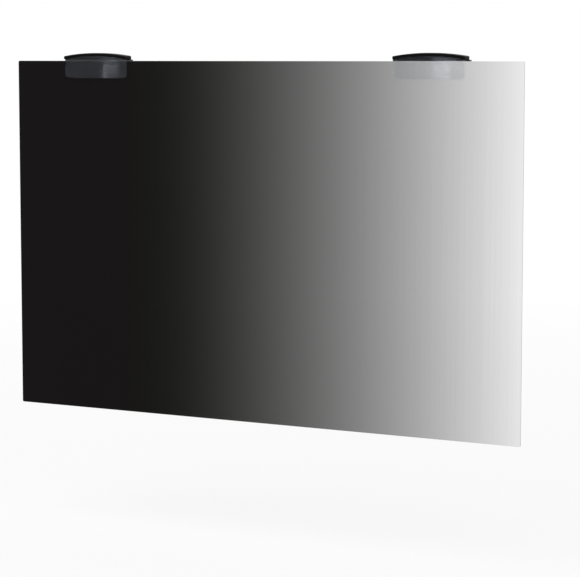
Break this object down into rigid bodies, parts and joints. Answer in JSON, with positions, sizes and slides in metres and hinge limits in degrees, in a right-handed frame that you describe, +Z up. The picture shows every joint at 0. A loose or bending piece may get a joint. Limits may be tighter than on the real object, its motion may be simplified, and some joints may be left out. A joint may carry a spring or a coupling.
{
  "type": "monitor privacy filter",
  "caption": "Flat dark louvred sheet that hangs in front of a monitor from clear tabs with arched magnetic hooks, held on steel strips taped to the monitor's top.",
  "frame": {"origin": "midway between the tabs, on the sheet's rear face, at the height of the surface that the strips are taped to", "axes": "+X along the width to the viewer's right, +Y to the back, +Z up"},
  "size_m": [0.533, 0.0131, 0.3435],
  "materials": {
    "louvre_film": "satin",
    "black_plastic": "matte",
    "clear_plastic": "gloss",
    "clear_adhesive": "gloss",
    "nickel_plate": "satin",
    "black_steel": "satin",
    "foam_tape": "matte"
  },
  "bodies": {
    "root": {"filter_sheet": "louvre_film", "left_hook": "black_plastic", "left_apron": "clear_plastic", "left_apron_tape": "clear_adhesive", "left_magnet_1": "nickel_plate", "left_magnet_2": "nickel_plate", "left_magnet_3": "nickel_plate", "left_strip": "black_steel", "left_strip_tape": "foam_tape", "right_hook": "black_plastic", "right_apron": "clear_plastic", "right_apron_tape": "clear_adhesive", "right_magnet_1": "nickel_plate", "right_magnet_2": "nickel_plate", "right_magnet_3": "nickel_plate", "right_strip": "black_steel", "right_strip_tape": "foam_tape"}
  },
  "joints": []
}
